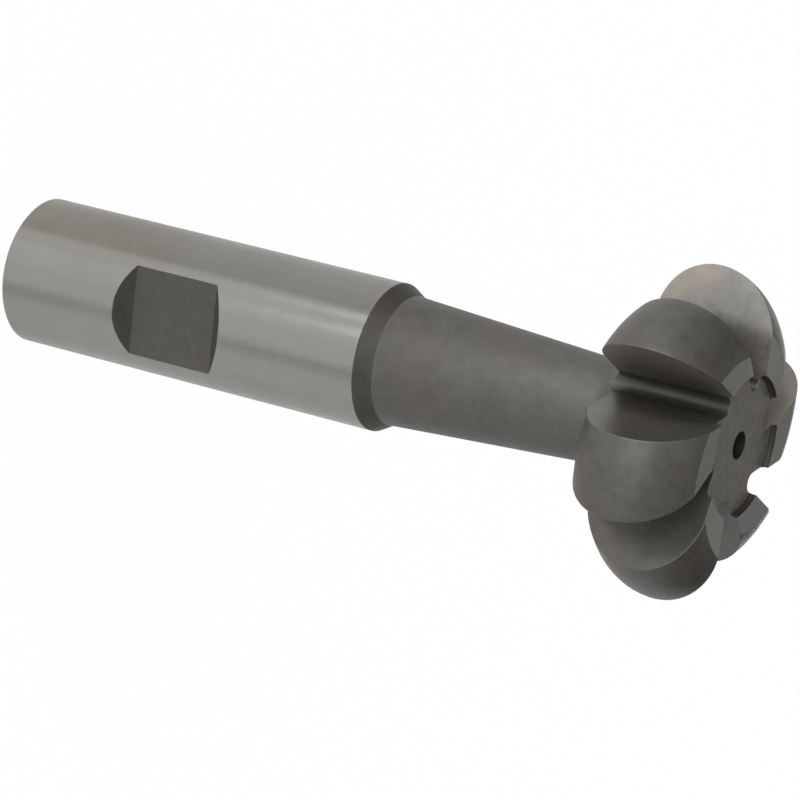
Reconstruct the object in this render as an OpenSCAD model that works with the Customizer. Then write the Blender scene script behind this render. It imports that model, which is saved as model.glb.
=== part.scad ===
// Convex radius cutter, made in one piece of tool steel.
// A straight shank with a side-lock flat steps down through a shoulder to a tapered neck.
// The neck carries a head with half-round teeth that mill a concave groove.
// The cutter stands on its shank end at Z = 0, with the head at the top and the flat toward -Y.
// It is a right-hand cutter: seen from the shank end it turns clockwise.

/* [Shank] */
// Diameter of the ground shank
shank_d = 19.05; // [18.4:0.05:21]
// Length of the ground shank
shank_len = 53; // [48:0.5:70]
// Width of the chamfer round the shank end
shank_chamfer = 0.4; // [0.3:0.1:1.2]

/* [Side-lock flat] */
// Length of the flat's floor along the shank
flat_len = 12; // [8:0.1:14]
// Depth of the floor below the round shank
flat_depth = 2; // [1.2:0.05:2.4]
// Distance from the shank end to the middle of the flat
flat_centre = 25.3; // [18:0.1:30]
// Angle between each sloped end of the flat and its floor
flat_end_angle = 45; // [35:1:60]

/* [Shoulder and neck] */
// Angle between the shoulder and the axis
shoulder_angle = 30; // [20:1:45]
// Diameter of the neck where it meets the shoulder
neck_root_d = 16.6; // [14.5:0.1:17.5]
// Diameter of the neck where it meets the head
neck_head_d = 12.7; // [11.4:0.1:14]
// Length of the shoulder and the neck together
neck_len = 33.75; // [26:0.05:46]
// Radius of the fillet between the neck and the back of the head
neck_fillet = 2.2; // [1:0.1:3.5]

/* [Cutting head] */
// Diameter over the cutting edges
head_d = 41.28; // [38:0.02:46]
// Radius of the half-round form that the teeth cut
form_r = 7.94; // [7:0.01:8.6]
// Amount by which each side of the head is ground back from the full half round
side_grind = 0.14; // [0.05:0.01:0.6]
// Number of teeth
tooth_count = 6; // [5:1:7]
// Turn of the first cutting edge from the +X direction
tooth_phase = -10; // [-30:1:30]
// Radial rake of the cutting faces
rake_angle = 9.5; // [5:0.5:12]
// Rate at which the form relief drops behind the edge, per radian of turn
relief_rate = 3.5; // [1.5:0.1:4]

/* [Gullets] */
// Depth of each gullet below the cutting edge
gullet_depth = 14; // [12:0.1:14.5]
// Angle between the cutting face and the back slope of the gullet
gullet_angle = 37; // [30:1:42]
// Radius at the bottom of the gullet
gullet_r = 1.25; // [0.8:0.05:2]

/* [Hub] */
// Diameter of the recess in the front of the head
recess_d = 17.9; // [16:0.1:20]
// Depth of the recess in the front of the head
recess_depth = 0.85; // [0.8:0.05:2.5]
// Radius in the corner between the floor and the wall of the recess
recess_fillet = 0.6; // [0.2:0.1:0.7]

/* [Centre holes] */
// Diameter at the mouth of the centre hole in the head
head_centre_d = 3.5; // [3:0.1:5]
// Diameter at the mouth of the centre hole in the shank end
shank_centre_d = 6.5; // [5:0.1:8]
// Diameter of the pilot drilled below each centre hole
pilot_d = 1.6; // [1:0.1:2.5]
// Depth of the pilot below the cone
pilot_depth = 3; // [2:0.1:5]
// Full angle of the cone of each centre hole
centre_angle = 60; // [55:5:90]

/* [Hidden] */
$fn = 96;

// Amount by which a cut runs past the surface that it opens
over = 1;

// Direction of the seam of the turned surfaces, clear of the flat and of the cutting edges
seam_turn = -22.5;

shank_r = shank_d / 2;
neck_root_r = neck_root_d / 2;
neck_head_r = neck_head_d / 2;
shoulder_len = (shank_r - neck_root_r) / tan(shoulder_angle);

head_r = head_d / 2;
head_w = 2 * (form_r - side_grind);
head_back_z = shank_len + neck_len;
head_front_z = head_back_z + head_w;
tooth_pitch = 360 / tooth_count;

// The fillet blends the tapered neck into the back of the head. Its circle dips a hair below
// both of them, so that the surfaces cross at clean edges.
fillet_dip = 0.002;
taper_angle = atan((neck_root_r - neck_head_r) / (neck_len - shoulder_len));
fillet_z = head_back_z - neck_fillet + fillet_dip;
fillet_r = neck_head_r + neck_fillet * (tan(taper_angle) + 1 / cos(taper_angle)) - fillet_dip;
fillet_start_z = fillet_z - neck_fillet * sin(taper_angle);

// Round bottom of a gullet, measured from the cutting edge:
// x runs outward along the cutting face and y points away from the tooth.
gullet_x = gullet_r - gullet_depth;
gullet_tangent = gullet_r / tan(gullet_angle / 2);
gullet_apex = [gullet_x - gullet_tangent, 0];
gullet_slope = [cos(gullet_angle), sin(gullet_angle)];

// Directions along and away from a cutting face whose edge lies on the X axis
face_out = [cos(rake_angle), sin(rake_angle)];
face_away = [-sin(rake_angle), cos(rake_angle)];
gullet_centre = [head_r, 0] + gullet_x * face_out + gullet_r * face_away;

// The hub under the teeth reaches a little past the bottoms of the gullets.
hub_margin = 0.3;
hub_r = max(fillet_r, norm(gullet_centre)) + hub_margin;

// Each land is relieved by turning its round form about an axis set off from the cutter's own,
// a quarter turn ahead of the middle of the land.
land_middle = -tooth_pitch / 3;
relief_offset = relief_rate * [cos(land_middle + 90), sin(land_middle + 90)];
relieved_r = norm([head_r, 0] - relief_offset);

// Point after a turn about the axis
function turned(point, angle) = [
    point[0] * cos(angle) - point[1] * sin(angle),
    point[0] * sin(angle) + point[1] * cos(angle)
];

// Shank, shoulder, neck and hub, turned from one bar
module turned_blank() {
    rotate([0, 0, seam_turn])
        rotate_extrude()
            union() {
                polygon([
                    [0, 0],
                    [shank_r - shank_chamfer, 0],
                    [shank_r, shank_chamfer],
                    [shank_r, shank_len],
                    [neck_root_r, shank_len + shoulder_len],
                    [neck_head_r, head_back_z],
                    [hub_r, head_back_z],
                    [hub_r, head_front_z],
                    [0, head_front_z]
                ]);
                fillet_section();
            }
}

// Half section of the metal under the fillet, between the neck and the back of the head
module fillet_section() {
    difference() {
        translate([0, fillet_start_z])
            square([fillet_r, head_back_z + over - fillet_start_z]);
        translate([fillet_r, fillet_z])
            circle(r = neck_fillet);
    }
}

// Trapezoid cut across the shank, with a sloped wall at each end of the floor
module flat_cut() {
    rise = flat_depth + over;
    run = rise / tan(flat_end_angle);
    half = flat_len / 2;
    translate([-shank_r, 0, flat_centre])
        rotate([90, 0, 90])
            linear_extrude(height = shank_d)
                polygon([
                    [flat_depth - shank_r, -half],
                    [flat_depth - shank_r, half],
                    [flat_depth - shank_r - rise, half + run],
                    [flat_depth - shank_r - rise, -half - run]
                ]);
}

// Half-round form turned about the offset axis of one land
module relieved_form() {
    translate([relief_offset[0], relief_offset[1], head_back_z])
        rotate_extrude()
            intersection() {
                union() {
                    translate([relieved_r - form_r, head_w / 2])
                        circle(r = form_r);
                    square([relieved_r - form_r, head_w]);
                }
                square([relieved_r + over, head_w]);
            }
}

// Wedge of the head that holds one tooth. It reaches from the middle of the gullet beside the
// cutting face to the middle of the gullet behind the land, and stops short of its neighbour.
module tooth_wedge() {
    gap = gullet_r / 2;
    reach = 2 * head_r;
    behind = gullet_centre + gap * face_away;
    translate([0, 0, head_back_z - over])
        linear_extrude(height = head_w + 2 * over)
            polygon([
                gullet_centre,
                gullet_centre + reach * face_out,
                reach * [cos(land_middle), sin(land_middle)],
                turned(behind + reach * face_out, -tooth_pitch),
                turned(behind, -tooth_pitch)
            ]);
}

module relieved_tooth() {
    intersection() {
        relieved_form();
        tooth_wedge();
    }
}

// Straight gullet in front of one cutting face: a V with a round bottom
module gullet_cut() {
    slope_start = gullet_apex + gullet_tangent * gullet_slope;
    slope_end = gullet_apex + head_d * gullet_slope;
    start_z = fillet_z - over;
    translate([head_r, 0, start_z])
        rotate([0, 0, rake_angle])
            linear_extrude(height = head_front_z + over - start_z)
                union() {
                    polygon([
                        [gullet_x, 0],
                        [slope_end[0], 0],
                        slope_end,
                        slope_start,
                        [gullet_x, gullet_r]
                    ]);
                    translate([gullet_x, gullet_r])
                        circle(r = gullet_r);
                }
}

module each_tooth() {
    for (i = [0 : tooth_count - 1])
        rotate([0, 0, tooth_phase + i * tooth_pitch])
            children();
}

// Shallow round recess with a rounded corner at its floor
module recess_cut() {
    recess_r = recess_d / 2;
    corner_r = recess_r - recess_fillet;
    translate([0, 0, head_front_z - recess_depth]) {
        cylinder(r = corner_r, h = recess_depth + over);
        translate([0, 0, recess_fillet]) {
            cylinder(r = recess_r, h = recess_depth - recess_fillet + over);
            rotate_extrude()
                translate([corner_r, 0])
                    circle(r = recess_fillet);
        }
    }
}

// Centre hole that opens toward +Z: a cone for the lathe centre with a pilot below it
module centre_hole(mouth_d) {
    slope = tan(centre_angle / 2);
    cone_depth = (mouth_d - pilot_d) / 2 / slope;
    translate([0, 0, -cone_depth])
        cylinder(d1 = pilot_d, d2 = mouth_d, h = cone_depth);
    cylinder(d = mouth_d, h = over);
    translate([0, 0, -cone_depth - pilot_depth])
        cylinder(d = pilot_d, h = pilot_depth + cone_depth);
}

module radius_cutter() {
    color([0.44, 0.43, 0.41])
        difference() {
            union() {
                turned_blank();
                each_tooth() relieved_tooth();
            }
            each_tooth() gullet_cut();
            flat_cut();
            recess_cut();
            rotate([180, 0, 0]) centre_hole(shank_centre_d);
            translate([0, 0, head_front_z - recess_depth]) centre_hole(head_centre_d);
        }
}

radius_cutter();
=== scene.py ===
"""Convex radius cutter: finishes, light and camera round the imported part."""

import math

import bpy
from mathutils import Matrix, Vector


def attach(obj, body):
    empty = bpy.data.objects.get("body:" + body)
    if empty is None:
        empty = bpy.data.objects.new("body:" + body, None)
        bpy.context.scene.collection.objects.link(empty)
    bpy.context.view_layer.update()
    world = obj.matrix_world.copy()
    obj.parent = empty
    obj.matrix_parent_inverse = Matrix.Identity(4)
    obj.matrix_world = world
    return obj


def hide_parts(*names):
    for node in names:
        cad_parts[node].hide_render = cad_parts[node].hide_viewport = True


bl_info = {
    "name": "Convex Radius Cutter",
    "version": (1, 0, 0),
    "blender": (4, 5, 0),
    "location": "3D View > Sidebar > Radius Cutter",
    "description": "Dresses a convex radius cutter in ground and satin steel",
    "category": "Object",
}

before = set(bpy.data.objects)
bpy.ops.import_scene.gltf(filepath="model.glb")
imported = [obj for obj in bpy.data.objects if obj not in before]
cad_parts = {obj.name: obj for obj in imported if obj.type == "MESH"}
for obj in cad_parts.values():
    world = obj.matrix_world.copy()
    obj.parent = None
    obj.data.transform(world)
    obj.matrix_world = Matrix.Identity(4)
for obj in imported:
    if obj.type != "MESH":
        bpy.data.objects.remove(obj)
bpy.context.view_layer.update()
NODE = "radius_cutter"
MM = 0.001


# ---------------------------------------------------------------- settings


class CUTTER_PG_sizes(bpy.types.PropertyGroup):
    """Sizes of the cutter that the finishes follow."""

    shank_d: bpy.props.FloatProperty(
        name="Shank diameter",
        description="Diameter of the ground shank",
        default=19.05 * MM,
        unit="LENGTH",
    )
    shank_len: bpy.props.FloatProperty(
        name="Shank length",
        description="Length of the ground shank",
        default=53 * MM,
        unit="LENGTH",
    )
    head_back: bpy.props.FloatProperty(
        name="Back of head",
        description="Height of the back of the head above the shank end",
        default=86.75 * MM,
        unit="LENGTH",
    )
    head_front: bpy.props.FloatProperty(
        name="Front of head",
        description="Height of the front of the head above the shank end",
        default=102.35 * MM,
        unit="LENGTH",
    )
    head_d: bpy.props.FloatProperty(
        name="Head diameter",
        description="Diameter over the cutting edges",
        default=41.28 * MM,
        unit="LENGTH",
    )
    recess_d: bpy.props.FloatProperty(
        name="Recess diameter",
        description="Diameter of the recess in the front of the head",
        default=17.9 * MM,
        unit="LENGTH",
    )
    gullet_depth: bpy.props.FloatProperty(
        name="Gullet depth",
        description="Depth of each gullet below the cutting edge",
        default=14 * MM,
        unit="LENGTH",
    )
    gullet_r: bpy.props.FloatProperty(
        name="Gullet radius",
        description="Radius at the bottom of the gullet",
        default=1.25 * MM,
        unit="LENGTH",
    )
    gullet_angle: bpy.props.FloatProperty(
        name="Gullet angle",
        description="Angle between the cutting face and the back slope of the gullet",
        default=math.radians(37),
        subtype="ANGLE",
    )
    tooth_count: bpy.props.IntProperty(
        name="Teeth", description="Number of teeth", default=6, min=3, max=12
    )
    tooth_phase: bpy.props.FloatProperty(
        name="First edge",
        description="Turn of the first cutting edge from the +X direction",
        default=math.radians(-10),
        subtype="ANGLE",
    )
    rake: bpy.props.FloatProperty(
        name="Rake",
        description="Radial rake of the cutting faces",
        default=math.radians(9.5),
        subtype="ANGLE",
    )


class CUTTER_PG_finish(bpy.types.PropertyGroup):
    """Colours of the cutter's finishes and of the floor."""

    ground_colour: bpy.props.FloatVectorProperty(
        name="Ground steel",
        description="Colour of the ground shank",
        subtype="COLOR",
        size=3,
        min=0,
        max=1,
        default=(0.288, 0.283, 0.267),
    )
    satin_colour: bpy.props.FloatVectorProperty(
        name="Satin steel",
        description="Colour of the satin neck and the relieved lands",
        subtype="COLOR",
        size=3,
        min=0,
        max=1,
        default=(0.106, 0.102, 0.096),
    )
    facet_colour: bpy.props.FloatVectorProperty(
        name="Front facets",
        description="Colour of the ground facets at the front of the teeth",
        subtype="COLOR",
        size=3,
        min=0,
        max=1,
        default=(0.285, 0.282, 0.275),
    )
    face_colour: bpy.props.FloatVectorProperty(
        name="Cutting faces",
        description="Colour of the ground cutting faces",
        subtype="COLOR",
        size=3,
        min=0,
        max=1,
        default=(0.44, 0.43, 0.415),
    )
    floor_colour: bpy.props.FloatVectorProperty(
        name="Floor",
        description="Colour of the studio floor",
        subtype="COLOR",
        size=3,
        min=0,
        max=1,
        default=(0.78, 0.78, 0.78),
    )


# ---------------------------------------------------------------- shader helpers


class Value:
    """A shader socket that takes part in Python expressions."""

    def __init__(self, nodes, socket):
        self.nodes = nodes
        self.socket = socket

    def _maths(self, operation, *values):
        return self.nodes.node(
            "ShaderNodeMath", {"operation": operation}, dict(enumerate(values))
        )

    def __add__(self, other):
        return self._maths("ADD", self, other)

    def __radd__(self, other):
        return self._maths("ADD", other, self)

    def __sub__(self, other):
        return self._maths("SUBTRACT", self, other)

    def __rsub__(self, other):
        return self._maths("SUBTRACT", other, self)

    def __mul__(self, other):
        return self._maths("MULTIPLY", self, other)

    def __rmul__(self, other):
        return self._maths("MULTIPLY", other, self)

    def __truediv__(self, other):
        return self._maths("DIVIDE", self, other)

    def __pow__(self, other):
        return self._maths("POWER", self, other)

    def arctan2(self, other):
        return self._maths("ARCTAN2", self, other)

    def swing(self, amount):
        """Noise of 0 to 1 as a change of up to half the amount either way."""
        return (self - 0.5) * amount

    def clamp(self):
        return self.nodes.node(
            "ShaderNodeClamp", {}, {"Value": self, "Min": 0.0, "Max": 1.0}
        )

    def step(self, low, high):
        """0 at low and 1 at high, smooth between them."""
        return self.nodes.node(
            "ShaderNodeMapRange",
            {"interpolation_type": "SMOOTHSTEP"},
            {"Value": self, "From Min": low, "From Max": high},
        )


class Nodes:
    """A node tree that is filled by one method."""

    def __init__(self, tree):
        self.tree = tree
        tree.nodes.clear()

    def node(self, kind, settings=None, inputs=None, out=0):
        """Adds a node: its settings first, then the values or links of its sockets."""
        made = self.tree.nodes.new(kind)
        for name, value in (settings or {}).items():
            if name == "stops":
                ramp = made.color_ramp
                while len(ramp.elements) < len(value):
                    ramp.elements.new(0.5)
                for element, (place, colour) in zip(ramp.elements, value):
                    element.position = place
                    element.color = (*colour, 1)
            else:
                setattr(made, name, value)
        for name, value in (inputs or {}).items():
            if isinstance(value, Value):
                self.tree.links.new(value.socket, made.inputs[name])
            else:
                made.inputs[name].default_value = value
        return Value(self, made.outputs[out]) if made.outputs else None

    def position(self):
        return self.node("ShaderNodeTexCoord", out="Object")

    def split(self, vector):
        made = self.node("ShaderNodeSeparateXYZ", {}, {0: vector}).socket.node
        return [Value(self, socket) for socket in made.outputs]

    def join(self, x, y, z):
        return self.node("ShaderNodeCombineXYZ", {}, {0: x, 1: y, 2: z})

    def dot(self, first, second):
        return self.node(
            "ShaderNodeVectorMath",
            {"operation": "DOT_PRODUCT"},
            {0: first, 1: second},
            out="Value",
        )

    def noise(self, vector, scale, detail=3.0, roughness=0.6):
        return self.node(
            "ShaderNodeTexNoise",
            {"noise_dimensions": "3D"},
            {
                "Vector": vector,
                "Scale": scale,
                "Detail": detail,
                "Roughness": roughness,
            },
            out="Fac",
        )

    def mix(self, factor, first, second):
        """Colour mix; a plain triple is a fixed colour."""
        ends = [c if isinstance(c, Value) else (*c, 1) for c in (first, second)]
        return self.node(
            "ShaderNodeMix",
            {"data_type": "RGBA"},
            {0: factor, 6: ends[0], 7: ends[1]},
            out=2,
        )

    def bump(self, height, strength, distance, normal):
        return self.node(
            "ShaderNodeBump",
            {},
            {
                "Height": height,
                "Strength": strength,
                "Distance": distance,
                "Normal": normal,
            },
            out="Normal",
        )

    def openness(self, reach):
        """1 where the surface lies open, less in corners nearer than the reach."""
        return self.node(
            "ShaderNodeAmbientOcclusion", {"samples": 8}, {"Distance": reach}, out="AO"
        )

    def surface(self, shader, output="ShaderNodeOutputMaterial"):
        self.node(output, {}, {"Surface": shader})


def shade(colour, factor):
    """The colour made darker, or lighter by a factor above 1."""
    return tuple(min(1.0, c * factor) for c in colour)


def new_material(name):
    material = bpy.data.materials.new(name)
    material.use_nodes = True
    return material, Nodes(material.node_tree)


def edge_round(nodes, radius):
    """The normal with slightly broken edges, and a mask: 1 on an outer edge, else 0."""
    normal = nodes.node(
        "ShaderNodeBevel", {"samples": 8}, {"Radius": radius}, out="Normal"
    )
    plain = nodes.node("ShaderNodeNewGeometry", out="Normal")
    turned = (1 - nodes.dot(normal, plain)).step(0.004, 0.08)
    outer = nodes.openness(0.8 * MM).step(0.82, 0.97)
    return normal, turned * outer


# ---------------------------------------------------------------- finishes


# Colour of the brown film on the cutting faces of the far side
FACE_FILM = (0.133, 0.121, 0.105)

# Direction, along X and Y, of the side of the shank where a brown reflection is painted
# near its end
PAINTED_REFLECTION_SIDE = (-0.984, 0.179)


def ground_steel(
    name, colour, roughness=0.30, anisotropic=1.0, round_axis=True, painted_reflection_side=None
):
    """Cylindrically ground steel: fine rings that stretch the reflections."""
    material, n = new_material(name)
    place = n.position()
    x, y, z = n.split(place)

    def grinding(across, along, detail, rough):
        """Marks with one scale across the axis and another along it."""
        return n.noise(n.join(x * across, y * across, z * along), 1.0, detail, rough)

    rings = grinding(60, 9000, 4.0, 0.7)
    bands = grinding(30, 900, 3.0, 0.6)
    streaks = grinding(700, 22, 4.0, 0.6)
    smudge = n.noise(place, 90.0, 4.0)
    tone = rings.swing(0.35) + bands.swing(0.25) + streaks.swing(0.35)
    tone = (tone + smudge.swing(0.3) + 0.5).clamp()
    base = n.mix(tone, shade(colour, 0.80), shade(colour, 1.20))
    rounded, edge = edge_round(n, 0.14 * MM)
    # Painted highlight: the outer edges are made lighter
    base = n.mix(edge * 0.5, base, shade(colour, 1.3))
    # Painted reflection: a brown tint on that side of the shank near its end, where the
    # shank reflects a brown band
    if painted_reflection_side:
        up = x * painted_reflection_side[0] + y * painted_reflection_side[1] + smudge.swing(1 * MM)
        brown_reflection_mask = up.step(4 * MM, 5.6 * MM) * z.step(36 * MM, 12 * MM)
        brown = (colour[0], colour[1] * 0.955, colour[2] * 0.89)
        base = n.mix(brown_reflection_mask * 0.9, base, brown)
    n.surface(
        n.node(
            "ShaderNodeBsdfPrincipled",
            {},
            {
                "Base Color": base,
                "Metallic": 1.0,
                "Roughness": rings.swing(0.10) + smudge.swing(0.12) + roughness,
                "Anisotropic": anisotropic,
                "Anisotropic Rotation": 0.25 if round_axis else 0.0,
                "Normal": n.bump(rings, 0.06, 0.02 * MM, rounded),
            },
        )
    )
    return material


def satin_steel(
    name,
    colour,
    roughness=0.55,
    grain=0.5,
    mottle=1.0,
    metal=0.5,
    corner=1.2 * MM,
    broken=0.22 * MM,
    edge_highlight=0.55,
    film_and_shade=0.0,
    corner_shade=0.6,
):
    """Blasted steel: a fine grain, faint clouds, painted shade in corners and painted
    highlights on outer edges.

    The corner is how far the painted corner shade reaches, and broken is the radius of
    the edges.
    The film setting is how strongly the far cutting faces get a brown film, the near
    ones painted shade and the inner ends of the others a painted shadow.
    """
    material, n = new_material(name)
    place = n.position()
    fine = n.noise(place, 5200.0)
    coarse = n.noise(place, 1700.0)
    cloud = n.noise(place, 190.0, 4.0)
    warm = n.noise(place, 110.0, 3.0, 0.5)
    blotch = n.noise(place, 620.0, 2.0, 0.5)
    tone = fine.swing(0.5) + coarse.swing(0.5) + blotch.swing(mottle)
    tone = (tone + cloud.swing(0.8 * mottle) + 0.5).clamp()
    base = n.mix(tone, shade(colour, 0.72), shade(colour, 1.28))
    brown = (colour[0] * 1.12, colour[1] * 0.98, colour[2] * 0.82)
    tint = n.mix(warm.step(0.50, 0.66) * (0.5 * mottle), base, brown)
    # Painted shade tone: the steel made much darker, laid on where shade falls
    shade_tone = (colour[0] * 0.27, colour[1] * 0.245, colour[2] * 0.21)
    if film_and_shade:
        x, y, _ = n.split(place)
        depth = y + cloud.swing(6 * MM)
        radius = (x * x + y * y) ** 0.5 + cloud.swing(3 * MM)
        # The far cutting faces get a brown film; the near ones get painted shade, and
        # the inner ends of the faces in between a darker painted shadow
        far = depth.step(2 * MM, 9 * MM)
        near = depth.step(-2 * MM, -7 * MM)
        inner = radius.step(15.7 * MM, 12.2 * MM) * depth.step(7 * MM, 3 * MM)
        tint = n.mix(far * film_and_shade, tint, FACE_FILM)
        tint = n.mix(near * film_and_shade, tint, shade_tone)
        tint = n.mix(inner * (1 - near) * film_and_shade, tint, shade(shade_tone, 0.5))
    # Painted shade: corners and hollows within the corner reach darken towards the
    # shade tone
    tint = n.mix((1 - n.openness(corner)).step(0.1, 0.75) * corner_shade, tint, shade_tone)
    rounded, edge = edge_round(n, broken)
    # Painted highlight: the outer edges are made lighter
    tint = n.mix(edge * edge_highlight, tint, shade(colour, 2.0))
    n.surface(
        n.node(
            "ShaderNodeBsdfPrincipled",
            {},
            {
                "Base Color": tint,
                "Metallic": metal,
                "Roughness": coarse.swing(0.16) + cloud.swing(0.14) + roughness,
                "Normal": n.bump(fine + coarse * 1.3, grain, 0.03 * MM, rounded),
            },
        )
    )
    return material


# ---------------------------------------------------------------- the cutter


REGIONS = (
    "ground_shank",
    "shoulder",
    "satin_neck",
    "milled_flat",
    "flat_end",
    "relieved_land",
    "cutting_face",
    "gullet",
    "front_facet",
    "recess",
    "recess_wall",
    "centre_hole",
)


# How far the middle of a face may lie off the surface that it is on
HAIR = 0.02 * MM

# Reach of the centre holes: round the axis, up from the shank end, down from the front
HOLE_R = 3.4 * MM
SHANK_HOLE_DEPTH = 15 * MM
HEAD_HOLE_DEPTH = 12 * MM

# Height of the shank's own end with its chamfer, which the flat stays clear of
SHANK_END = 2 * MM

# Most that the shoulder rises above the shank, and that the fillet falls below the head
SHOULDER_LEN = 4 * MM
FILLET_DROP = 3 * MM

# Most that the recess lies below the front of the head
RECESS_DROP = 1.5 * MM


def region_of(centre, normal, s):
    """Which finish a face of the cutter has, from its middle and its normal."""
    r = math.hypot(centre.x, centre.y)
    z = centre.z
    if r < HOLE_R and (z < SHANK_HOLE_DEPTH or z > s.head_front - HEAD_HOLE_DEPTH):
        if abs(normal.z) < 0.99:
            return "centre_hole"
    if z < s.shank_len + HAIR:
        inside = r < s.shank_d / 2 - 3 * HAIR
        if centre.y < 0 and inside and z > SHANK_END:
            return "milled_flat" if normal.y < -0.9 else "flat_end"
        return "ground_shank"
    if z < s.shank_len + SHOULDER_LEN and normal.z > 0.3:
        return "shoulder"
    if z < s.head_back + HAIR and normal.z < 0.5:
        if z < s.head_back - FILLET_DROP or normal.z < -0.9:
            return "satin_neck"
    side = tooth_side(centre, normal, s)
    if side:
        return side
    if z < s.head_back + HAIR:
        return "satin_neck"
    if normal.z > 0.95 and z > s.head_front - HAIR:
        return "front_facet"
    if r < s.recess_d / 2 + HAIR and z > s.head_front - RECESS_DROP:
        return "recess" if normal.z > 0.9 else "recess_wall"
    return "relieved_land"


def tooth_side(centre, normal, s):
    """The cutting face or gullet that a face lies on, if any."""
    if abs(normal.z) > 0.08:
        return None
    bottom_u = s.gullet_r - s.gullet_depth
    apex_u = bottom_u - s.gullet_r / math.tan(s.gullet_angle / 2)
    for i in range(s.tooth_count):
        a = s.tooth_phase + i * 2 * math.pi / s.tooth_count
        edge = Vector((math.cos(a), math.sin(a))) * s.head_d / 2
        out = Vector((math.cos(a + s.rake), math.sin(a + s.rake)))
        away = Vector((-out.y, out.x))

        # From the edge, u runs outward along the cutting face, v away from the tooth.
        place = Vector((centre.x, centre.y)) - edge
        u, v = place @ out, place @ away
        way = Vector((normal.x, normal.y))
        way_u, way_v = way @ out, way @ away
        if abs(v) < HAIR and u > bottom_u - 2.5 * HAIR and way_v > 0.9:
            return "cutting_face"
        if math.hypot(u - bottom_u, v - s.gullet_r) < s.gullet_r + 2.5 * HAIR:
            return "gullet"
        sine, cosine = math.sin(s.gullet_angle), math.cos(s.gullet_angle)
        if way_u * sine - way_v * cosine > 0.995 and v > 0:
            if abs((u - apex_u) * sine - v * cosine) < 1.5 * HAIR:
                return "gullet"
    return None


# Points closer than a ten-thousandth of a millimetre are joined.
STEPS_PER_METRE = 1e7


def merged_copy(node, name):
    """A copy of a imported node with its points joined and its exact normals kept."""
    source = node.data
    places, index, corners = [], {}, []
    for p in source.vertices:
        key = tuple(round(c * STEPS_PER_METRE) for c in p.co)
        if key not in index:
            index[key] = len(places)
            places.append(p.co[:])
        corners.append(index[key])
    normals, faces = [], []
    for face in source.polygons:
        points = [corners[v] for v in face.vertices]
        if len(set(points)) < 3:
            continue
        faces.append(points)
        normals += [source.corner_normals[i].vector[:] for i in face.loop_indices]
    mesh = bpy.data.meshes.new(name)
    mesh.from_pydata(places, [], faces)
    mesh.polygons.foreach_set("use_smooth", [True] * len(mesh.polygons))
    mesh.normals_split_custom_set(normals)
    piece = bpy.data.objects.new(name, mesh)
    bpy.context.scene.collection.objects.link(piece)
    return piece


class CUTTER_OT_body(bpy.types.Operator):
    """Dresses the cutter's one piece of steel in the finish of each of its surfaces"""

    bl_idname = "cutter.body"
    bl_label = "Cutter body"

    def execute(self, context):
        s = context.scene.cutter_sizes
        f = context.scene.cutter_finish
        piece = merged_copy(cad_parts[NODE], "cutter_body")
        steel = f.satin_colour
        finishes = {
            "ground_shank": ground_steel(
                "ground_shank", f.ground_colour, painted_reflection_side=PAINTED_REFLECTION_SIDE
            ),
            # Painted shade: the shoulder is the satin steel made darker
            "shoulder": satin_steel("shoulder", shade(steel, 0.75)),
            "satin_neck": satin_steel("satin_neck", shade(steel, 1.13), mottle=0.75),
            "milled_flat": satin_steel("milled_flat", shade(steel, 0.95), mottle=0.4),
            # Painted shade: the walls at the ends of the flat are its steel made darker
            "flat_end": satin_steel("flat_end", shade(steel, 0.7)),
            "relieved_land": satin_steel(
                "relieved_land", steel, roughness=0.5, grain=0.3
            ),
            "cutting_face": satin_steel(
                "cutting_face",
                f.face_colour,
                roughness=0.5,
                grain=0.25,
                metal=0.4,
                corner=7 * MM,
                broken=0.06 * MM,
                edge_highlight=0.1,
                film_and_shade=0.8,
                corner_shade=0.8,
            ),
            "gullet": satin_steel(
                "gullet",
                shade(steel, 0.95),
                roughness=0.36,
                grain=0.2,
                metal=0.4,
                corner=6 * MM,
                corner_shade=0.7,
            ),
            "front_facet": ground_steel(
                "front_facet",
                f.facet_colour,
                roughness=0.45,
                anisotropic=0.5,
                round_axis=False,
            ),
            "recess": satin_steel(
                "recess", shade(steel, 1.6), roughness=0.45, grain=0.3
            ),
            # Painted shade: the recess wall is the satin steel made much darker
            "recess_wall": satin_steel(
                "recess_wall",
                shade(steel, 0.45),
                roughness=0.5,
                grain=0.3,
                corner=2 * MM,
                edge_highlight=0.2,
            ),
            # Painted shade: the centre holes are the satin steel darkened almost to
            # black
            "centre_hole": satin_steel(
                "centre_hole", shade(steel, 0.08), roughness=0.7
            ),
        }
        for region in REGIONS:
            piece.data.materials.append(finishes[region])
        for face in piece.data.polygons:
            face.material_index = REGIONS.index(region_of(face.center, face.normal, s))
        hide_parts(NODE)
        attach(piece, "root")
        return {"FINISHED"}


# ---------------------------------------------------------------- the stage


# The camera's place, and the ways to its right, its top and its back
CAMERA_PLACE = Vector((-0.12598, -0.42877, 0.28356))
CAMERA_ACROSS = Vector((-0.11079, 0.49359, 0.86261))
CAMERA_UP = Vector((-0.95910, 0.17439, -0.22297))
CAMERA_BACK = CAMERA_ACROSS.cross(CAMERA_UP)

# Half the width of the floor, and how far it lies below the cutter
FLOOR_HALF = 6.0
FLOOR_DROP = 0.1 * MM

# Height on the axis that the soft boxes point at
LAMP_AIM = Vector((0, 0, 97 * MM))

# Name, azimuth in degrees, height, distance, width and height, watts, spread in degrees
SOFT_BOXES = (
    ("key", -151, 0.110, 0.35, (0.13, 0.06), 0.0066, 16),
    ("fill", -128, 0.022, 0.35, (0.17, 0.03), 0.0047, 19),
    ("back", 73, 0.40, 0.8, (0.5, 0.5), 0.22, 180),
    ("rear", 73, 0.06, 0.8, (0.55, 0.12), 0.50, 180),
)

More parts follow.
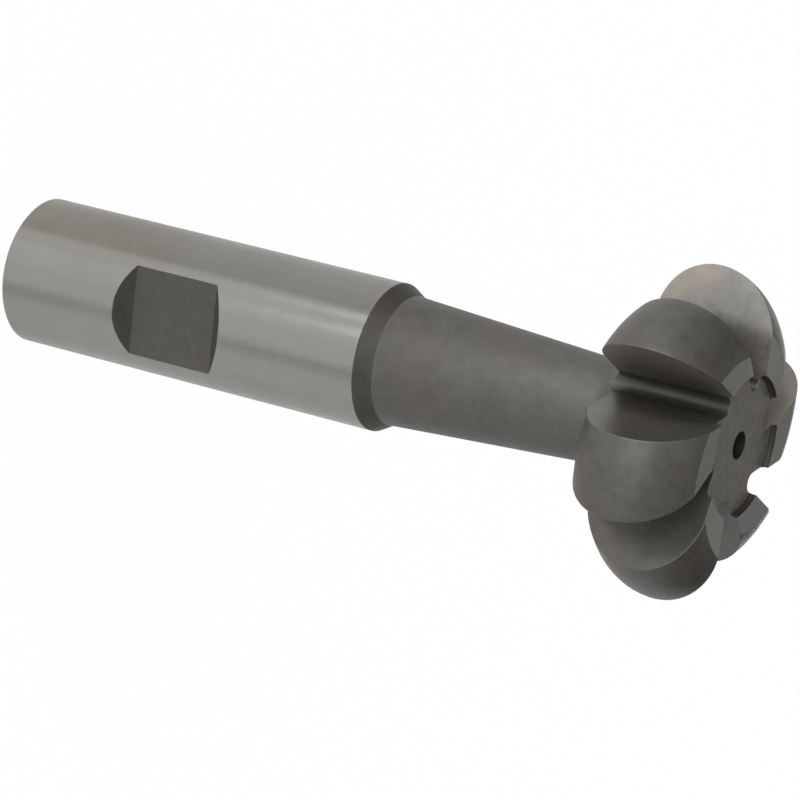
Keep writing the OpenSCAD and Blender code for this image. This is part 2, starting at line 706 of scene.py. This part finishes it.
# The upright bands of the room. The angle is the one at which a face of the cutter
# shows the band: its degrees from the camera toward the top of the photograph.
PANELS = (
    (-90, (0.0, 0.0, 0.0)),
    (-76, (0.12, 0.12, 0.12)),
    (-70, (0.0, 0.0, 0.0)),
    (-58, (0.32, 0.32, 0.32)),
    (-40, (1.10, 1.10, 1.10)),
    (-28.5, (1.20, 1.20, 1.19)),
    (-23, (0.0, 0.0, 0.0)),
    (-18.5, (0.0, 0.0, 0.0)),
    (-13.5, (1.90, 1.89, 1.82)),
    (0, (2.05, 2.04, 1.97)),
    (8, (2.80, 2.80, 2.72)),
    (16, (2.75, 2.75, 2.69)),
    (21, (2.15, 2.15, 2.11)),
    (27.6, (3.20, 3.20, 3.14)),
    (28.4, (0.0, 0.0, 0.0)),
    (34, (0.15, 0.13, 0.08)),
    (44, (0.48, 0.44, 0.34)),
    (54, (0.34, 0.31, 0.22)),
    (64, (0.0, 0.0, 0.0)),
    (71, (0.0, 0.0, 0.0)),
    (79, (0.30, 0.30, 0.28)),
)

# Strength of the panels near the horizon, and what the top of the room loses of it
PANEL_STRENGTH = 1.1
PANEL_FADE = 0.8


def studio_floor(colour):
    """A pale floor that the camera and the steel see as white, with a faint shadow."""
    material, n = new_material("studio_floor")
    camera, glossy, through = [
        n.node("ShaderNodeLightPath", out=ray)
        for ray in ("Is Camera Ray", "Is Glossy Ray", "Is Transmission Ray")
    ]
    shown = (camera + glossy + through).clamp() * 0.96
    diffuse = n.node("ShaderNodeBsdfDiffuse", {}, {"Color": (*colour, 1)})
    white = n.node("ShaderNodeEmission", {}, {"Color": (1, 1, 1, 1), "Strength": 1.02})
    n.surface(n.node("ShaderNodeMixShader", {}, {0: shown, 1: diffuse, 2: white}))
    return material


def studio_world():
    """Soft panels and dark gaps that stand round the cutter, as upright bands."""
    world = bpy.data.worlds.new("studio")
    world.use_nodes = True
    n = Nodes(world.node_tree)
    way = n.node("ShaderNodeTexCoord", out="Generated")
    towards = Vector((CAMERA_BACK.x, CAMERA_BACK.y, 0)).normalized()
    upper = Vector((towards.y, -towards.x, 0))
    half = n.node(
        "ShaderNodeVectorMath", {"operation": "ADD"}, {0: way, 1: CAMERA_BACK[:]}
    )
    turn = n.dot(half, upper[:]).arctan2(n.dot(half, towards[:]))
    bands = n.node(
        "ShaderNodeValToRGB",
        {"stops": [(0.5 + degrees / 180, colour) for degrees, colour in PANELS]},
        {"Fac": turn / math.pi + 0.5},
        out="Color",
    )
    height = n.split(way)[2]
    strength = PANEL_STRENGTH - height.step(0.15, 0.65) * PANEL_FADE
    n.surface(
        n.node("ShaderNodeBackground", {}, {"Color": bands, "Strength": strength}),
        "ShaderNodeOutputWorld",
    )
    return world


def soft_box(name, azimuth, height, distance, size, power, spread):
    """An upright soft box at a height above the floor, turned to the cutter's head."""
    lamp = bpy.data.lights.new(name, "AREA")
    lamp.shape = "RECTANGLE"
    lamp.size, lamp.size_y = size
    lamp.energy = power
    lamp.spread = math.radians(spread)
    made = bpy.data.objects.new(name, lamp)
    bpy.context.scene.collection.objects.link(made)
    a = math.radians(azimuth)
    made.location = (distance * math.cos(a), distance * math.sin(a), height)
    away = made.location - LAMP_AIM
    made.rotation_euler = away.to_track_quat("Z", "Y").to_euler()
    made.visible_camera = False


def photo_camera(scene):
    """The camera at the photograph's place and angle."""
    lens = bpy.data.cameras.new("photo_camera")
    lens.lens = 180.5
    lens.sensor_width = 36
    lens.sensor_fit = "HORIZONTAL"
    lens.clip_start = 0.01
    lens.clip_end = 20
    camera = bpy.data.objects.new("photo_camera", lens)
    scene.collection.objects.link(camera)
    turn = Matrix((CAMERA_ACROSS, CAMERA_UP, CAMERA_BACK)).transposed().to_4x4()
    camera.matrix_world = Matrix.Translation(CAMERA_PLACE) @ turn
    return camera


class CUTTER_OT_stage(bpy.types.Operator):
    """Makes the pale floor, the soft light and the camera at the photograph's angle"""

    bl_idname = "cutter.stage"
    bl_label = "Studio"

    def execute(self, context):
        scene = context.scene
        mesh = bpy.data.meshes.new("studio_floor")
        mesh.from_pydata(
            [
                (x * FLOOR_HALF, y * FLOOR_HALF, -FLOOR_DROP)
                for x, y in ((-1, -1), (1, -1), (1, 1), (-1, 1))
            ],
            [],
            [(0, 1, 2, 3)],
        )
        floor = bpy.data.objects.new("studio_floor", mesh)
        scene.collection.objects.link(floor)
        mesh.materials.append(studio_floor(scene.cutter_finish.floor_colour))

        for box in SOFT_BOXES:
            soft_box(*box)
        scene.world = studio_world()
        scene.camera = photo_camera(scene)
        scene.view_settings.view_transform = "Standard"
        return {"FINISHED"}


class CUTTER_PT_panel(bpy.types.Panel):
    """Sizes, finishes and build steps of the cutter"""

    bl_idname = "CUTTER_PT_panel"
    bl_label = "Radius Cutter"
    bl_space_type = "VIEW_3D"
    bl_region_type = "UI"
    bl_category = "Radius Cutter"

    def draw(self, context):
        layout = self.layout
        for group in (context.scene.cutter_sizes, context.scene.cutter_finish):
            box = layout.box()
            for name in group.__annotations__:
                box.prop(group, name)
        for operator in OPERATORS:
            layout.operator(operator.bl_idname)


OPERATORS = (CUTTER_OT_body, CUTTER_OT_stage)
CLASSES = (CUTTER_PG_sizes, CUTTER_PG_finish, *OPERATORS, CUTTER_PT_panel)


def register():
    for cls in CLASSES:
        bpy.utils.register_class(cls)
    bpy.types.Scene.cutter_sizes = bpy.props.PointerProperty(type=CUTTER_PG_sizes)
    bpy.types.Scene.cutter_finish = bpy.props.PointerProperty(type=CUTTER_PG_finish)


def unregister():
    del bpy.types.Scene.cutter_finish
    del bpy.types.Scene.cutter_sizes
    for cls in reversed(CLASSES):
        bpy.utils.unregister_class(cls)


def main():
    register()
    bpy.ops.cutter.body()
    bpy.ops.cutter.stage()


if __name__ == "__main__":
    main()
